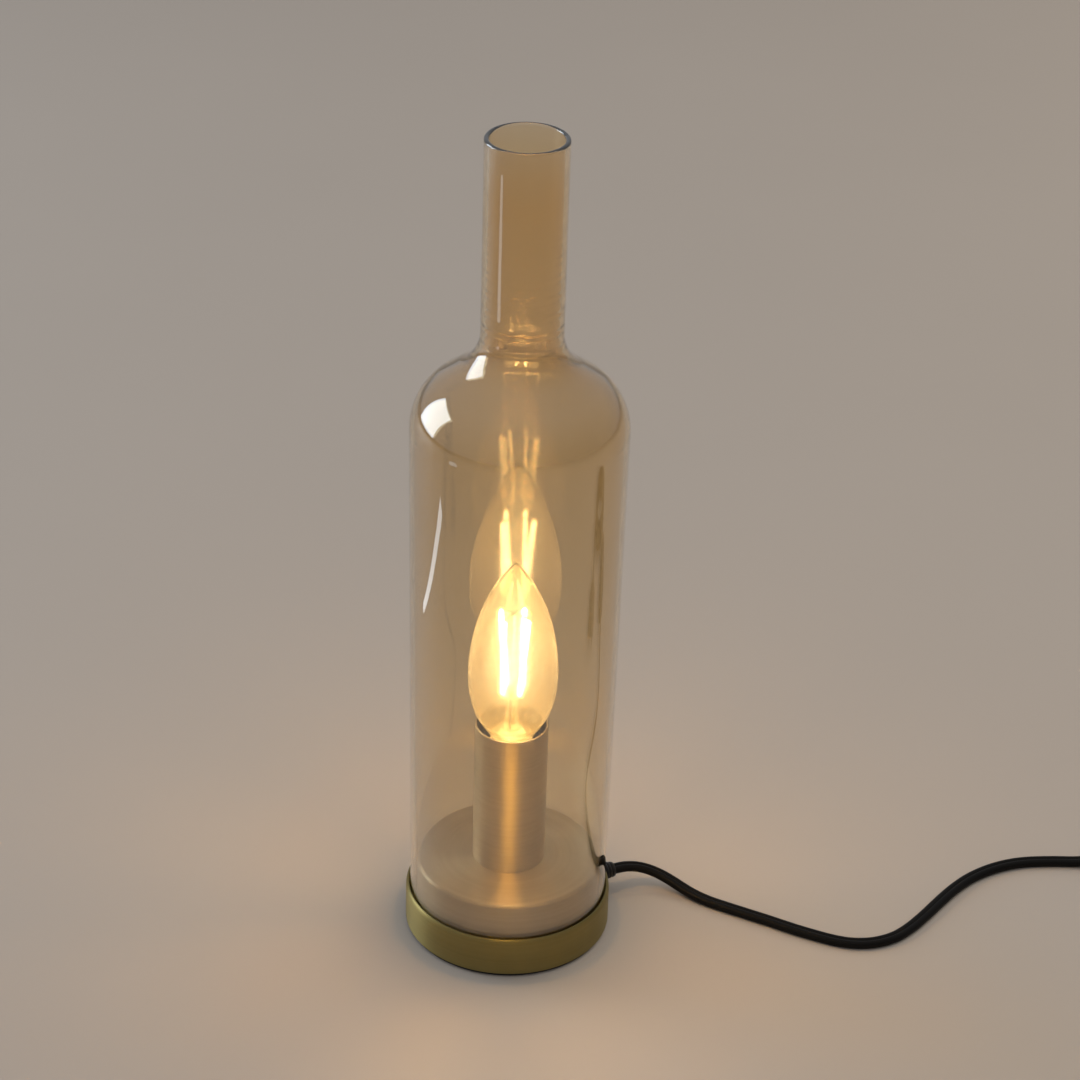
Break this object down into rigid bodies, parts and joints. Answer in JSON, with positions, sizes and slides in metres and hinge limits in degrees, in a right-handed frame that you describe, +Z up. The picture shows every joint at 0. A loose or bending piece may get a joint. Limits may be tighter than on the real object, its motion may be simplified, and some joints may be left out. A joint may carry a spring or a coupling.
{
  "type": "bottle table lamp",
  "caption": "Table lamp with a tinted glass bottle that lifts off a turned metal dish, over a candle bulb on a brushed sleeve, with a switched cord and plug.",
  "frame": {"origin": "middle of the underside of the foot pad, on the table", "axes": "+Z up along the bottle, +X towards the side that the cord leaves, +Y away from the viewer of the picture"},
  "size_m": [0.4486, 0.0985, 0.3368],
  "materials": {
    "amber_glass": "clear tinted",
    "clear_glass": "clear",
    "dish_brass": "satin",
    "champagne_metal": "brushed satin",
    "plain_brass": "plain",
    "zinc_steel": "zinc plated",
    "cast_iron": "as cast",
    "black_rubber": "matt",
    "black_plastic": "semi-gloss",
    "cord_plastic": "semi-gloss",
    "white_ceramic": "plain",
    "brown_wire": "matt",
    "blue_wire": "matt",
    "lit_filament": "glowing coating",
    "nickel": "nickel plated"
  },
  "bodies": {
    "base": {"foot_pad": "black_rubber", "base_dish": "dish_brass", "glass_seat_ring": "black_rubber", "ballast_weight": "cast_iron", "cord_bush": "black_plastic", "cord_clamp": "black_plastic", "clamp_screw_1": "zinc_steel", "clamp_screw_2": "zinc_steel", "inner_cord_sheath": "cord_plastic", "wire_brown": "brown_wire", "wire_blue": "blue_wire", "terminal_brown": "plain_brass", "terminal_blue": "plain_brass", "plinth_drum": "champagne_metal", "lamp_sleeve": "champagne_metal", "threaded_nipple": "zinc_steel", "lower_nut": "zinc_steel", "lower_washer": "zinc_steel", "sleeve_nut": "zinc_steel", "holder_cap": "black_plastic", "holder_shell": "black_plastic", "holder_core": "white_ceramic", "screw_contact": "plain_brass", "centre_contact": "plain_brass", "cord_lead": "cord_plastic", "switch_base": "black_plastic", "switch_cover": "black_plastic", "rocker_pin": "zinc_steel", "switch_screw_1": "zinc_steel", "switch_screw_2": "zinc_steel", "switch_terminal_1": "plain_brass", "switch_terminal_2": "plain_brass", "cord_coil": "cord_plastic", "coil_tie": "black_rubber", "plug_body": "black_plastic", "plug_pin_1": "nickel", "plug_pin_2": "nickel"},
    "shade": {"glass_bottle": "amber_glass", "glass_neck": "amber_glass"},
    "bulb_carrier": {"bulb_tip_contact": "nickel"},
    "bulb": {"bulb_envelope": "clear_glass", "bulb_cap": "nickel", "bulb_insulator": "black_plastic", "bulb_stem": "clear_glass", "filament_1": "lit_filament", "filament_2": "lit_filament", "filament_3": "lit_filament", "filament_4": "lit_filament", "filament_frame": "nickel", "lead_wire_1": "nickel", "lead_wire_2": "nickel"},
    "rocker": {"switch_rocker": "black_plastic"}
  },
  "joints": [
    {"name": "shade_lift", "type": "slide", "parent": "base", "child": "shade", "axis": [0, 0, 1], "range_m": [0, 0.18]},
    {"name": "bulb_lift", "type": "slide", "parent": "base", "child": "bulb_carrier", "axis": [0, 0, 1], "range_m": [0, 0.01411]},
    {"name": "bulb_turn", "type": "hinge", "parent": "bulb_carrier", "child": "bulb", "pos_m": [0, 0, 0.063], "axis": [0, 0, 1], "range_deg": [0, 1800]},
    {"name": "rocker_tilt", "type": "hinge", "parent": "base", "child": "rocker", "pos_m": [0.29705, 0.04437, 0.014], "axis": [0, -1, 0], "range_deg": [0, 16]}
  ],
  "couplings": [
    {"joint": "bulb_lift", "follows": "bulb_turn", "m_per_rad": 0.00044913}
  ]
}
